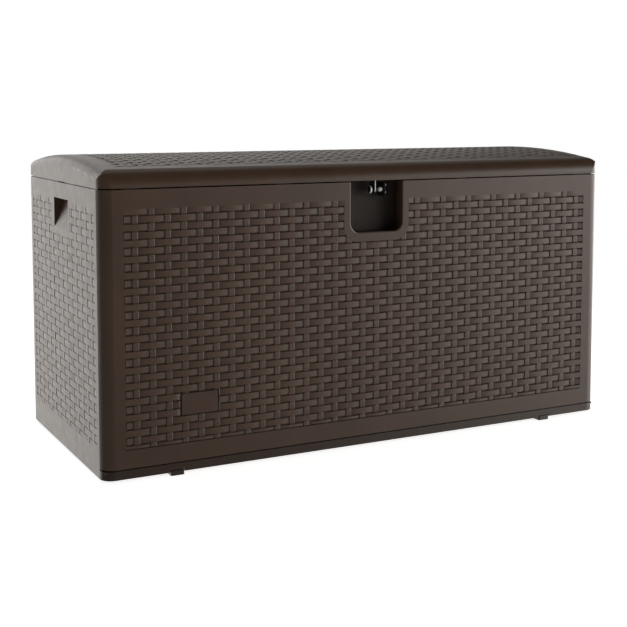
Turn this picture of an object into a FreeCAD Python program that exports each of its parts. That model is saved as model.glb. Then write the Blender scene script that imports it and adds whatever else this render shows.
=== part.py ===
"""Deck storage box in woven-look resin: walls, base, arched lid on a rear hinge rod, gas struts and latch.

Millimetres, +Z up. The origin is on the ground under the centre of the box, and the front faces -Y.
Each sub-part is written to parts/NODE.step.
"""
import FreeCAD, Part
import os
import re

V = FreeCAD.Vector
LEFT, RIGHT = -1, 1
SIDE_NAME = {LEFT: "left", RIGHT: "right"}

SIZES = {
    # outside of the box
    "half_width": 690, "front": -314, "rear": 309, "corner": 28, "skin": 6.5, "seam": 0.4,
    "skirt_low": 8, "floor_low": 24, "floor_top": 28, "panel_low": 31, "wall_top": 650,
    "lip": 2.5, "lip_high": 2,
    # the weave fields are sunk into the borders by this much
    "weave": 3, "field_half": 637, "field_low": 72, "field_high": 607,
    "side_mid": -2.5, "side_field_half": 266,
    # latch recess in the front panel, with the smooth frame round it
    "recess_half": 72, "recess_low": 528, "recess_deep": 42, "recess_round": 24, "recess_wall": 4,
    "recess_edge": 3,
    "frame_half": 90, "frame_low": 506, "frame_round": 38,
    # hand pocket in each side panel, with the smooth boss round it
    "pocket_half": 61, "pocket_low": 540, "pocket_high": 612, "pocket_deep": 25, "pocket_wall": 3.5,
    "boss_half": 74, "boss_low": 523, "boss_round": 10,
    # stiffening inside the panels
    "flange": 4, "flange_deep": 12, "side_flange_deep": 8, "rib": 4, "floor_rib_end": 8,
    "tongue": 4, "tongue_start": 9, "tongue_end": 22, "tongue_short": 10,
    # lid
    "lid_low": 653, "rim_straight": 660, "rim_edge": 694, "rim_back": 22, "lid_high": 715,
    "rim_bulge_in": 6.8, "rim_bulge_up": 19.7, "end_round": 25, "lid_field_front": 28,
    "liner_low": 663, "liner": 3, "liner_rib": 6, "liner_rib_end": 40, "liner_gap": 1,
    "liner_boss": 7, "liner_boss_high": 30, "liner_boss_bore": 20,
    # hinge at the rear edge
    "hinge_y": 306, "hinge_z": 651.5, "knuckle": 8, "hinge_rod": 3, "running": 0.05,
    "knuckle_relief": 9.5, "rear_relief": 5, "lid_knuckle_half": 18, "knuckle_gap": 0.5,
    "body_knuckle": 26, "web_reach": 14, "rod_half": 545, "rod_cap": 4,
    "rod_cap_round": 5.5,
    # latch hardware
    "hasp": 2.5, "hasp_front": -306, "hasp_back": -282, "hasp_low": 622, "hasp_flange": 28,
    "plate_round": 4,
    "pin_y": -294, "pin_z": 630, "pin": 4, "pin_head": 9.5, "pin_head_in": -7, "pin_head_out": -11,
    "pin_head_edge": 0.5,
    "pin_ball": 6, "pin_ball_x": 20,
    "keeper_x": 27, "keeper_low": 613, "keeper_high": 646, "keeper_hole": 7, "keeper_flange": 26,
    "keeper_reach": 10,
    # gas struts
    "strut_x": 655, "strut_y": 216, "strut_z": 441.5, "stud_y": 226, "stud_z": 639.5,
    "strut_tube": 9, "strut_tube_start": 10, "strut_tube_long": 148, "strut_rod": 4,
    "strut_bore_start": 22, "strut_rod_start": 24, "strut_tube_round": 3, "neck": 3.5, "neck_start": 5,
    "sleeve": 5.5, "sleeve_back": 16, "sleeve_long": 10,
    "strut_pin": 4, "eye": 8, "eye_half": 4, "open_gap": 0.5,
    "bracket": 3, "bracket_half_wide": 14, "bracket_half_high": 34, "bracket_round": 6,
    "collar": 7, "collar_gap": 0.4, "pin_past_eye": 3,
    "stud_plate_x": 669, "stud_plate_half": 18, "stud_plate_drop": 12, "stud_flange": 16,
    # fasteners, feet, label and bumpers
    "screw": 2, "screw_hole": 2.1, "screw_head": 4, "screw_head_high": 2.5,
    "panel_screw": 7, "bracket_screw": 5, "liner_screw": 16, "plate_screw": 9, "keeper_screw": 8,
    "foot_x": 517, "foot_half": 16, "foot_gap": 1, "foot_deep": 40, "foot_round": 3, "toe_high": 11,
    "foot_notch": 13,
    "label_left": -506, "label_right": -418, "label_low": 137, "label_high": 185, "label_round": 4,
    "bumper_half": 16, "bumper_gap": 0.4, "bumper_in": 3.5,
}

HINGE_STATIONS = [-500, -250, 0, 250, 500]
LONG_RIBS = [-550, -350, -150, 150, 350, 550]
SIDE_RIBS = [-150, 120]
PANEL_SCREW_HEIGHTS = [90, 340, 600]
LINER_SCREWS = [(x, y) for x in (-600, -200, 200, 600) for y in (-225, 220)]
LINER_LONG_RIBS = [-255, -90, 85, 250]
LINER_CROSS_RIBS = [-648, -400, -100, 100, 400, 648]
FLOOR_RIBS = [-600, -340, -170, 0, 170, 340, 600]
FLOOR_LONG_RIBS = [-150, 145]
BUMPERS = [-620, -250, 250, 620]
SCREW_PITCH = 12

doc = FreeCAD.newDocument("deck_storage_box")
sheet = doc.addObject("Spreadsheet::Sheet", "sizes")


def fill_sheet():
    for row, (alias, size) in enumerate(SIZES.items(), start=1):
        sheet.set(f"A{row}", alias)
        sheet.set(f"B{row}", str(size))
        sheet.setAlias(f"B{row}", alias)
    doc.recompute()


def size(alias):
    return float(sheet.get(alias))


def formula(text):
    """The text with each driving size's name turned into a reference to the sheet."""
    def refer(match):
        return f"sizes.{match[0]}" if match[0] in SIZES else match[0]

    return re.sub(r"[a-z_]+", refer, str(text))


def bind(item, prop, text):
    item.setExpression(prop, formula(text))


def place(item, x, y, z, rotation=None):
    if rotation:
        item.Placement = FreeCAD.Placement(V(0, 0, 0), rotation)
    for name, text in zip("xyz", (x, y, z)):
        bind(item, f"Placement.Base.{name}", text)


def block(name, low, high):
    """A box between two corners, each given as three formulas."""
    item = doc.addObject("Part::Box", name)
    for prop, start, end in zip(("Length", "Width", "Height"), low, high):
        bind(item, prop, f"({end}) - ({start})")
    place(item, *low)
    return item


ALONG = {
    "x": FreeCAD.Rotation(V(0, 1, 0), 90),
    "y": FreeCAD.Rotation(V(1, 0, 0), -90),
    "z": None,
}


def rod(name, start, axis, radius, length):
    """A cylinder from a start point along +x, +y or +z."""
    item = doc.addObject("Part::Cylinder", name)
    bind(item, "Radius", radius)
    bind(item, "Height", length)
    place(item, *start, ALONG[axis])
    return item


def fuse(name, items):
    item = doc.addObject("Part::MultiFuse", name)
    item.Shapes = items
    item.Refine = True
    return item


def cut(name, base, tools):
    item = doc.addObject("Part::Cut", name)
    item.Base = base
    item.Tool = tools[0] if len(tools) == 1 else fuse(f"{name}_tools", tools)
    item.Refine = True
    return item


def along(edge, axis):
    """True for a straight edge that runs along the axis."""
    if edge.Curve.TypeId != "Part::GeomLine":
        return False
    return abs(abs(edge.tangentAt(edge.FirstParameter).dot(axis)) - 1) < 1e-6


def upright(edge):
    return along(edge, V(0, 0, 1))


def circular(edge):
    return edge.Curve.TypeId == "Part::GeomCircle"


def rounded(name, base, radius, wanted):
    """A fillet on each edge that wanted(edge) picks."""
    doc.recompute()
    edges = [n for n, edge in enumerate(base.Shape.Edges, start=1) if wanted(edge)]
    item = doc.addObject("Part::Fillet", name)
    item.Base = base
    item.Edges = [(n, radius, radius) for n in edges]
    return item


def span(side, inner, outer):
    """Low and high x formulas for a stretch at two distances from the middle, on one side."""
    return (f"-({outer})", f"-({inner})") if side == LEFT else (inner, outer)


def finish(item, label):
    item.Label = label
    return item


def group(label, items):
    """Separate solids that share one node."""
    item = doc.addObject("Part::Compound", label)
    item.Links = items
    return item


def solid_feature(name, shape):
    item = doc.addObject("Part::Feature", name)
    item.Shape = shape
    return item


# ---------------------------------------------------------------- wrapped skins of the front and rear

def wrapped_skin(name, end, low, high):
    """The skin of a long wall with both its rounded corners, up to the seams with the side panels."""
    spare = "2 * corner"
    if end == "front":
        outer_y, inner_y = ("front", f"front + {spare}"), ("front + skin", f"front + {spare} + 1")
        trim_y = ("front + corner", f"front + {spare} + 2")
    else:
        outer_y, inner_y = (f"rear - {spare}", "rear"), (f"rear - {spare} - 1", "rear - skin")
        trim_y = (f"rear - {spare} - 2", "rear - corner")
    outer = block(f"{name}_outer", ("-half_width", outer_y[0], low), ("half_width", outer_y[1], high))
    inner = block(f"{name}_inner", ("skin - half_width", inner_y[0], f"{low} - 1"),
                  ("half_width - skin", inner_y[1], f"{high} + 1"))
    trim = block(f"{name}_trim", ("-half_width - 1", trim_y[0], f"{low} - 2"),
                 ("half_width + 1", trim_y[1], f"{high} + 2"))

    def corner_edge(face):
        return lambda edge: upright(edge) and abs(edge.CenterOfMass.y - face) < 0.1

    face = size(end)
    inner_face = face + size("skin") if end == "front" else face - size("skin")
    bend = rounded(f"{name}_bend", outer, size("corner"), corner_edge(face))
    inner_bend = rounded(f"{name}_inner_bend", inner, size("corner") - size("skin"), corner_edge(inner_face))
    return cut(f"{name}_skin", bend, [inner_bend, trim])


def long_wall_stiffening(name, end):
    """Top and bottom flanges, upright ribs and the tongues that lap the side panels."""
    if end == "front":
        near, far = "front + skin - 0.5", "front + skin + flange_deep"
        lap = ("front + skin + tongue_start", "front + corner + tongue_end")
    else:
        near, far = "rear - skin - flange_deep", "rear - skin + 0.5"
        lap = ("rear - corner - tongue_end", "rear - skin - tongue_start")
    reach = "half_width - corner - 2"
    parts = [
        block(f"{name}_low_flange", (f"-({reach})", near, "floor_top"), (reach, far, "floor_top + flange")),
        block(f"{name}_top_flange", (f"-({reach})", near, "wall_top - flange"), (reach, far, "wall_top")),
    ]
    for n, x in enumerate(LONG_RIBS):
        parts.append(block(f"{name}_rib_{n}", (f"{x} - rib / 2", near, "floor_top + flange / 2"),
                           (f"{x} + rib / 2", far, "wall_top - flange / 2")))
    for side in (LEFT, RIGHT):
        low_x, high_x = span(side, "half_width - skin - tongue", "half_width - skin")
        parts.append(block(f"{name}_tongue_{SIDE_NAME[side]}", (low_x, lap[0], "panel_low + tongue_short"),
                           (high_x, lap[1], "wall_top - tongue_short")))
    return parts


LAP_SCREW_Y = {"front": "front + corner + tongue_end / 2", "rear": "rear - corner - tongue_end / 2"}


def lap_screw_holes(name, end, side):
    """Holes across the lap of a long wall's tongue and a side panel."""
    low_x, high_x = span(side, "half_width - skin - tongue - 1", "half_width - weave")
    return [rod(f"{name}_{end}_hole_{SIDE_NAME[side]}_{n}", (low_x, LAP_SCREW_Y[end], z), "x", "screw_hole",
                f"({high_x}) - ({low_x})") for n, z in enumerate(PANEL_SCREW_HEIGHTS)]


def front_panel():
    skin = wrapped_skin("front_panel", "front", "panel_low", "wall_top")
    housing = block("recess_housing", ("-recess_half - recess_wall", "front + 1", "recess_low - recess_wall"),
                    ("recess_half + recess_wall", "front + recess_deep + recess_wall", "wall_top"))
    recess = block("recess_space", ("-recess_half", "front - 1", "recess_low"),
                   ("recess_half", "front + recess_deep", "wall_top + 1"))
    bottom = size("recess_low") + 1

    def low_edge(edge):
        return along(edge, V(0, 1, 0)) and edge.CenterOfMass.z < bottom

    housing = rounded("recess_housing_round", housing, size("recess_round"), low_edge)
    recess = rounded("recess_space_round", recess, size("recess_round"), low_edge)
    field = block("front_field", ("-field_half", "front - 1", "field_low"),
                  ("field_half", "front + weave", "field_high"))
    frame = block("recess_frame", ("-frame_half", "front - 2", "frame_low"),
                  ("frame_half", "front + weave + 1", "field_high + 1"))
    frame = rounded("recess_frame_round", frame, size("frame_round"), low_edge)
    field = cut("front_field_cut", field, [frame])
    whole = fuse("front_panel_whole", [skin, housing] + long_wall_stiffening("front_panel", "front"))
    holes = keeper_screw_holes()
    for side in (LEFT, RIGHT):
        holes += lap_screw_holes("front_panel", "front", side)
    pierced = cut("front_panel_pierced", whole, [recess, field] + holes)
    reach, face = size("recess_half") + 0.1, size("front")

    def mouth_edge(edge):
        box = edge.BoundBox
        return max(-box.XMin, box.XMax) < reach and max(abs(box.YMin - face), abs(box.YMax - face)) < 0.1 \
            and box.ZMin > bottom - 1.1

    return finish(rounded("front_panel_done", pierced, size("recess_edge"), mouth_edge), "front_panel")


def knuckle(name, middle, half):
    return rod(name, (f"{middle} - ({half})", "hinge_y", "hinge_z"), "x", "knuckle", f"2 * ({half})")


def rear_panel():
    """The rear wall, with two hinge knuckles at each station and room for the lid's knuckle between them."""
    skin = wrapped_skin("rear_panel", "rear", "panel_low", "wall_top")
    field = block("rear_field", ("-field_half", "rear - weave", "field_low"),
                  ("field_half", "rear + 1", "field_high"))
    whole = fuse("rear_panel_whole", [skin] + long_wall_stiffening("rear_panel", "rear"))
    reliefs, knuckles = [], []
    for n, x in enumerate(HINGE_STATIONS):
        room = "lid_knuckle_half + knuckle_gap"
        reliefs.append(rod(f"lid_knuckle_room_{n}", (f"{x} - ({room})", "hinge_y", "hinge_z"), "x",
                           "knuckle_relief", f"2 * ({room})"))
        for side in (LEFT, RIGHT):
            tag = f"{n}_{SIDE_NAME[side]}"
            middle = f"{x} + {side} * (lid_knuckle_half + knuckle_gap + body_knuckle / 2)"
            knuckles.append(knuckle(f"body_knuckle_{tag}", middle, "body_knuckle / 2"))
            knuckles.append(block(f"body_web_{tag}",
                                  (f"{middle} - body_knuckle / 2", "hinge_y - knuckle", "hinge_z - web_reach"),
                                  (f"{middle} + body_knuckle / 2", "rear", "hinge_z")))
    for side in (LEFT, RIGHT):
        low_x, high_x = span(side, "rod_half - knuckle_gap", "rod_half + rod_cap + knuckle_gap")
        reliefs.append(rod(f"cap_room_{SIDE_NAME[side]}", (low_x, "hinge_y", "hinge_z"), "x", "knuckle_relief",
                           f"({high_x}) - ({low_x})"))
        reliefs += lap_screw_holes("rear_panel", "rear", side)
    relieved = cut("rear_panel_relieved", whole, [field] + reliefs)
    joined = fuse("rear_panel_joined", [relieved] + knuckles)
    return finish(cut("rear_panel_done", joined, [hinge_bore("body_bore")]), "rear_panel")


def hinge_bore(name):
    return rod(name, ("-rod_half - 1", "hinge_y", "hinge_z"), "x", "hinge_rod + running", "2 * rod_half + 2")


# ---------------------------------------------------------------- side panels

def wedge(name, side, deep, low, high, half):
    """A prism across the side panel: nothing deep at its low edge and its full depth at its high edge."""
    x = side * size("half_width")
    inner = x - side * deep
    mid = size("side_mid")
    corners = [V(x, mid - half, low), V(inner, mid - half, high), V(x, mid - half, high)]
    face = Part.Face(Part.makePolygon(corners + corners[:1]))
    return solid_feature(name, face.extrude(V(0, 2 * half, 0)))


def side_panel(side):
    name = SIDE_NAME[side]
    low_x, high_x = span(side, "half_width - skin", "half_width")
    plate = block(f"{name}_plate", (low_x, "front + corner + seam", "skirt_low"),
                  (high_x, "rear - corner - seam", "wall_top"))
    low_x, high_x = span(side, "half_width - skin", "half_width - skin + lip")
    lip = block(f"{name}_lip", (low_x, "front + corner + seam", "wall_top - 1"),
                (high_x, "rear - corner - seam", "wall_top + lip_high"))
    low_x, high_x = span(side, "half_width - weave", "half_width + 1")
    field = block(f"{name}_field", (low_x, "side_mid - side_field_half", "field_low"),
                  (high_x, "side_mid + side_field_half", "field_high"))
    low_x, high_x = span(side, "half_width - weave - 1", "half_width + 2")
    boss = block(f"{name}_boss", (low_x, "side_mid - boss_half", "boss_low"),
                 (high_x, "side_mid + boss_half", "field_high + 1"))

    def low_edge(edge):
        return along(edge, V(1, 0, 0)) and edge.CenterOfMass.z < size("boss_low") + 1

    boss = rounded(f"{name}_boss_round", boss, size("boss_round"), low_edge)
    field = cut(f"{name}_field_cut", field, [boss])
    low_x, high_x = span(side, "half_width - skin - side_flange_deep", "half_width - skin + 0.5")
    stiffening = [
        block(f"{name}_top_flange", (low_x, "front + corner + tongue_end + 2", "wall_top - flange"),
              (high_x, "rear - corner - tongue_end - 2", "wall_top")),
    ]
    for n, y in enumerate(SIDE_RIBS):
        stiffening.append(block(f"{name}_rib_{n}", (low_x, f"{y} - rib / 2", "floor_top + 2"),
                                (high_x, f"{y} + rib / 2", "wall_top - flange / 2")))
    wall = size("pocket_wall")
    low, high, deep = size("pocket_low"), size("pocket_high"), size("pocket_deep")
    housing = wedge(f"{name}_pocket_housing", side, deep + 2 * wall, low - 3 * wall, high + wall,
                    size("pocket_half") + wall)
    pocket = wedge(f"{name}_pocket", side, deep, low, high, size("pocket_half"))
    whole = fuse(f"{name}_panel_whole", [plate, lip, housing] + stiffening)
    holes = lap_screw_holes(f"{name}_side", "front", side) + lap_screw_holes(f"{name}_side", "rear", side)
    for n, (y, z) in enumerate(bracket_screw_places()):
        low, high = span(side, "half_width - skin - 1", "half_width - weave - 0.8")
        holes.append(rod(f"{name}_bracket_hole_{n}", (low, y, z), "x", "screw_hole", f"({high}) - ({low})"))
    return finish(cut(f"{name}_side_done", whole, [field, pocket] + holes), f"{name}_side_panel")


# ---------------------------------------------------------------- base and feet

FEET = [(end, side) for end in ("front", "rear") for side in (LEFT, RIGHT)]


def foot_space(end, side, room, start, deep, top):
    """Low and high corners of a space round a foot, between two distances from the wall's outside face."""
    low_y, high_y = (f"front + {start}", f"front + {deep}")
    if end == "rear":
        low_y, high_y = (f"rear - ({deep})", f"rear - {start}")
    low_x, high_x = (f"{side} * foot_x - foot_half - {room}", f"{side} * foot_x + foot_half + {room}")
    return (low_x, low_y), (high_x, high_y, top)


def base_panel():
    """The floor, the skirts below the long walls and the ribs underneath."""
    skirts = [wrapped_skin(f"{end}_skirt", end, "skirt_low", "floor_top") for end in ("front", "rear")]
    floor = block("floor", ("skin - half_width", "front + skin - 0.5", "floor_low"),
                  ("half_width - skin", "rear - skin + 0.5", "floor_top"))
    ribs = []
    for n, x in enumerate(FLOOR_RIBS):
        ribs.append(block(f"floor_rib_{n}", (f"{x} - rib / 2", "front + skin - 0.5", "skirt_low + 2"),
                          (f"{x} + rib / 2", "rear - skin + 0.5", "floor_low + 1")))
    for n, y in enumerate(FLOOR_LONG_RIBS):
        ribs.append(block(f"floor_long_rib_{n}",
                          ("floor_rib_end - half_width", f"{y} - rib / 2", "skirt_low + 2"),
                          ("half_width - floor_rib_end", f"{y} + rib / 2", "floor_low + 1")))
    notches = []
    for end, side in FEET:
        low, high = foot_space(end, side, "foot_gap", "(-1)", "skin + 1", "foot_notch")
        notches.append(block(f"{end}_notch_{SIDE_NAME[side]}", low + ("skirt_low - 1",), high))
    whole = fuse("base_whole", skirts + [floor] + ribs)
    return finish(cut("base_done", whole, notches), "base_panel")


def feet(end):
    """Pads under the floor, each with a low toe that shows in a notch in the skirt."""
    items = []
    for side in (LEFT, RIGHT):
        name = f"{end}_foot_{SIDE_NAME[side]}"
        low, high = foot_space(end, side, "0", "0", "foot_deep", "toe_high")
        toe = rounded(f"{name}_toe", block(f"{name}_sole", low + ("0",), high), size("foot_round"), upright)
        low, high = foot_space(end, side, "0", "(skin + foot_gap)", "foot_deep", "floor_low")
        pad = rounded(f"{name}_round", block(name, low + ("0",), high), size("foot_round"), upright)
        items.append(fuse(f"{name}_whole", [toe, pad]))
    return group(f"{end}_feet", items)


# ---------------------------------------------------------------- lid

def arched_body(inset, low, ends="round"):
    """The lid's outside form, moved inwards by inset: a straight rim, a leaning rim and a shallow arch."""
    middle = (size("front") + size("rear")) / 2
    reach = middle - size("front") - inset
    edge_reach = reach - size("rim_back")
    edge_z = size("rim_edge") - inset
    bulge = (reach - size("rim_bulge_in"), size("rim_straight") + size("rim_bulge_up") - inset / 2)
    half = size("half_width") - inset

    def point(sign, out, z):
        return V(-half, middle + sign * out, z)

    edges = [
        Part.LineSegment(point(-1, reach, low), point(-1, reach, size("rim_straight"))),
        Part.Arc(point(-1, reach, size("rim_straight")), point(-1, *bulge), point(-1, edge_reach, edge_z)),
        Part.Arc(point(-1, edge_reach, edge_z), point(1, 0, size("lid_high") - inset),
                 point(1, edge_reach, edge_z)),
        Part.Arc(point(1, edge_reach, edge_z), point(1, *bulge), point(1, reach, size("rim_straight"))),
        Part.LineSegment(point(1, reach, size("rim_straight")), point(1, reach, low)),
        Part.LineSegment(point(1, reach, low), point(-1, reach, low)),
    ]
    body = Part.Face(Part.Wire([edge.toShape() for edge in edges])).extrude(V(2 * half, 0, 0))
    if ends == "plain":
        return body
    arches = [edge for edge in body.Edges
              if abs(abs(edge.CenterOfMass.x) - half) < 0.1 and edge.CenterOfMass.z > edge_z + 1]
    body = body.makeFillet(size("end_round") - inset, arches)
    plan = Part.makeBox(2 * half, 2 * reach, size("lid_high") - low, V(-half, middle - reach, low))
    corners = [edge for edge in plan.Edges if upright(edge)]
    return body.common(plan.makeFillet(size("corner") - inset, corners))


def lid_shell():
    outer = solid_feature("lid_outer", arched_body(0, size("lid_low")))
    inner = solid_feature("lid_inner", arched_body(size("skin"), size("lid_low") - 1))
    field_box = block("lid_field_box",
                      ("-field_half", "front + rim_back + lid_field_front", "rim_edge - weave"),
                      ("field_half", "rear - rim_back - lid_field_front", "lid_high + 5"))
    sunk = solid_feature("lid_sunk", arched_body(size("weave"), size("lid_low"), "plain"))
    field = cut("lid_field", field_box, [sunk])
    shell = cut("lid_hollow", outer, [inner, field])
    bosses = []
    for n, (x, y) in enumerate(LINER_SCREWS):
        bosses.append(rod(f"liner_boss_{n}", (x, y, "liner_low + liner"), "z", "liner_boss", "liner_boss_high"))
    reliefs, knuckles = [], []
    for n, x in enumerate(HINGE_STATIONS):
        half = "lid_knuckle_half + body_knuckle + rod_cap + 3 * knuckle_gap"
        reliefs.append(rod(f"body_knuckle_room_{n}", (f"{x} - ({half})", "hinge_y", "hinge_z"), "x",
                           "knuckle_relief", f"2 * ({half})"))
        knuckles.append(knuckle(f"lid_knuckle_{n}", str(x), "lid_knuckle_half"))
        knuckles.append(block(f"lid_web_{n}", (f"{x} - lid_knuckle_half", "hinge_y - knuckle", "hinge_z"),
                              (f"{x} + lid_knuckle_half", "rear", "hinge_z + web_reach")))
    reliefs.append(block("lid_rear_relief", ("-half_width - 1", "hinge_y - 1", "lid_low - 1"),
                         ("half_width + 1", "rear + 1", "hinge_z + rear_relief")))
    bossed = fuse("lid_bossed", [shell] + bosses)
    relieved = cut("lid_relieved", bossed, reliefs)
    joined = fuse("lid_joined", [relieved] + knuckles)
    bores = [hinge_bore("lid_bore")]
    for n, (x, y) in enumerate(LINER_SCREWS):
        bores.append(rod(f"liner_boss_bore_{n}", (x, y, "liner_low"), "z", "screw_hole", "liner_boss_bore"))
    return finish(cut("lid_done", joined, bores), "lid_shell")


def lid_liner():
    """The flat panel that closes the lid from below, stiffened by ribs."""
    reach_x = "half_width - skin - liner_gap"
    square = block("liner_square", (f"-({reach_x})", "front + skin + 2 * liner_gap", "liner_low"),
                   (reach_x, "hinge_y - knuckle - knuckle_gap", "liner_low + liner"))
    flat = rounded("liner_sheet", square, size("corner") - size("skin") - size("liner_gap"), upright)
    low_z, high_z = "liner_low - liner_rib", "liner_low + 1"
    ribs = []
    for n, y in enumerate(LINER_LONG_RIBS):
        ribs.append(block(f"liner_long_rib_{n}", ("liner_rib_end - half_width", f"{y} - rib / 2", low_z),
                          ("half_width - liner_rib_end", f"{y} + rib / 2", high_z)))
    for n, x in enumerate(LINER_CROSS_RIBS):
        ribs.append(block(f"liner_cross_rib_{n}", (f"{x} - rib / 2", f"{LINER_LONG_RIBS[0]} - rib / 2", low_z),
                          (f"{x} + rib / 2", f"{LINER_LONG_RIBS[-1]} + rib / 2", high_z)))
    places = LINER_SCREWS + hasp_screw_places() + stud_screw_places(LEFT) + stud_screw_places(RIGHT)
    holes = [rod(f"liner_hole_{n}", (x, y, "liner_low - 1"), "z", "screw_hole", "liner + 2")
             for n, (x, y) in enumerate(places)]
    return finish(cut("lid_liner_done", fuse("lid_liner_whole", [flat] + ribs), holes), "lid_liner")


def lid_bumpers():
    pads = []
    for n, x in enumerate(BUMPERS):
        pads.append(block(f"front_bumper_{n}",
                          (f"{x} - bumper_half", "front + bumper_in", "wall_top + bumper_gap"),
                          (f"{x} + bumper_half", "front + skin", "lid_low")))
    for side in (LEFT, RIGHT):
        low_x, high_x = span(side, "half_width - bumper_in", "half_width - 1")
        pads.append(block(f"{SIDE_NAME[side]}_bumper", (low_x, "-bumper_half", "wall_top + bumper_gap"),
                          (high_x, "bumper_half", "lid_low")))
    return group("lid_bumpers", pads)


# ---------------------------------------------------------------- screws

HEAD_OVERLAP = 0.5


def screw(name, at, axis, way, length):
    """A pan-head screw. The head's underside is at the point and the shank runs the given way along the axis."""
    shift = {"x": (1, 0, 0), "y": (0, 1, 0), "z": (0, 0, 1)}[axis]
    head_shift = "-screw_head_high" if way > 0 else "0"
    shank_shift = f"-{HEAD_OVERLAP}" if way > 0 else f"-({length})"

    def moved(distance):
        return [f"{text} + {unit} * ({distance})" for text, unit in zip(at, shift)]

    head = rod(f"{name}_head", moved(head_shift), axis, "screw_head", "screw_head_high")
    shank = rod(f"{name}_shank", moved(shank_shift), axis, "screw", f"{length} + {HEAD_OVERLAP}")
    return fuse(name, [head, shank])


def hasp_screw_places():
    return [("hasp_flange - 15", "pin_y - 6.5"), ("hasp_flange - 5", "pin_y + 6.5")]


def stud_screw_places(side):
    x = f"{side} * (stud_plate_x - 9)"
    return [(x, f"stud_y + {way * SCREW_PITCH}") for way in (-1, 1)]


def bracket_screw_places():
    return [("strut_y", f"strut_z + {way * 2 * SCREW_PITCH}") for way in (-1, 1)]


def keeper_screw_places():
    return [("keeper_x + hasp + 14", f"(keeper_low + keeper_high) / 2 + {way * 9}") for way in (-1, 1)]


def keeper_screw_holes():
    return [rod(f"keeper_hole_{n}", (x, "front + recess_deep - 1", z), "y", "screw_hole", "recess_wall + 2")
            for n, (x, z) in enumerate(keeper_screw_places())]


def panel_screws():
    items = []
    for side in (LEFT, RIGHT):
        head_x = f"{side} * (half_width - skin - tongue)"
        for end, y in LAP_SCREW_Y.items():
            for n, z in enumerate(PANEL_SCREW_HEIGHTS):
                items.append(screw(f"panel_screw_{SIDE_NAME[side]}_{end}_{n}", (head_x, y, z), "x", side,
                                   "panel_screw"))
    return group("panel_screws", items)


def bracket_screws():
    items = []
    for side in (LEFT, RIGHT):
        head_x = f"{side} * (half_width - skin - bracket)"
        for n, (y, z) in enumerate(bracket_screw_places()):
            items.append(screw(f"bracket_screw_{SIDE_NAME[side]}_{n}", (head_x, y, z), "x", side,
                               "bracket_screw"))
    return group("bracket_screws", items)


def liner_screws():
    return group("liner_screws", [screw(f"liner_screw_{n}", (x, y, "liner_low"), "z", 1, "liner_screw")
                                  for n, (x, y) in enumerate(LINER_SCREWS)])


def hasp_screws():
    return group("hasp_screws", [screw(f"hasp_screw_{n}", (x, y, "liner_low - hasp"), "z", 1, "plate_screw")
                                 for n, (x, y) in enumerate(hasp_screw_places())])


def stud_screws():
    items = []
    for side in (LEFT, RIGHT):
        for n, (x, y) in enumerate(stud_screw_places(side)):
            items.append(screw(f"stud_screw_{SIDE_NAME[side]}_{n}", (x, y, "liner_low - bracket"), "z", 1,
                               "plate_screw"))
    return group("stud_screws", items)


def keeper_screws():
    return group("keeper_screws", [screw(f"keeper_screw_{n}", (x, "front + recess_deep - hasp", z), "y", 1,
                                         "keeper_screw") for n, (x, z) in enumerate(keeper_screw_places())])


# ---------------------------------------------------------------- hinge rod

def hinge_rod():
    return finish(rod("hinge_rod_done", ("-rod_half", "hinge_y", "hinge_z"), "x", "hinge_rod", "2 * rod_half"),
                  "hinge_rod")


def hinge_rod_caps():
    caps = []
    for side in (LEFT, RIGHT):
        low_x, _ = span(side, "rod_half", "rod_half + rod_cap")
        caps.append(rod(f"rod_cap_{SIDE_NAME[side]}", (low_x, "hinge_y", "hinge_z"), "x", "rod_cap_round",
                        "rod_cap"))
    return group("hinge_rod_caps", caps)


# ---------------------------------------------------------------- latch

def hasp_plate():
    """A bent plate: its flange is screwed under the liner and its blade hangs into the recess."""
    blade = block("hasp_blade", ("-hasp / 2", "hasp_front", "hasp_low"), ("hasp / 2", "hasp_back", "liner_low"))
    blade = rounded("hasp_blade_round", blade, size("plate_round"),
                    lambda edge: along(edge, V(1, 0, 0)) and edge.CenterOfMass.z < size("hasp_low") + 1)
    flange = block("hasp_flange_part", ("-hasp / 2", "hasp_front", "liner_low - hasp"),
                   ("hasp_flange", "hasp_back", "liner_low"))
    holes = [rod("pin_eye", ("-hasp", "pin_y", "pin_z"), "x", "pin + running", "2 * hasp")]
    holes += [rod(f"hasp_flange_hole_{n}", (x, y, "liner_low - hasp - 1"), "z", "screw_hole", "hasp + 2")
              for n, (x, y) in enumerate(hasp_screw_places())]
    return finish(cut("hasp_done", fuse("hasp_whole", [blade, flange]), holes), "hasp_plate")


def lock_pin():
    """A cross pin with a flat round head at one end and a ball at the other."""
    head = rod("pin_head_disc", ("pin_head_out", "pin_y", "pin_z"), "x", "pin_head", "pin_head_in - pin_head_out")
    head = rounded("pin_head_round", head, size("pin_head_edge"), circular)
    shank = rod("pin_shank", ("pin_head_in - 1", "pin_y", "pin_z"), "x", "pin", "pin_ball_x - pin_head_in + 1")
    ball = doc.addObject("Part::Sphere", "pin_ball_end")
    bind(ball, "Radius", "pin_ball")
    place(ball, "pin_ball_x", "pin_y", "pin_z")
    return finish(fuse("lock_pin_done", [head, shank, ball]), "lock_pin")


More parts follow.
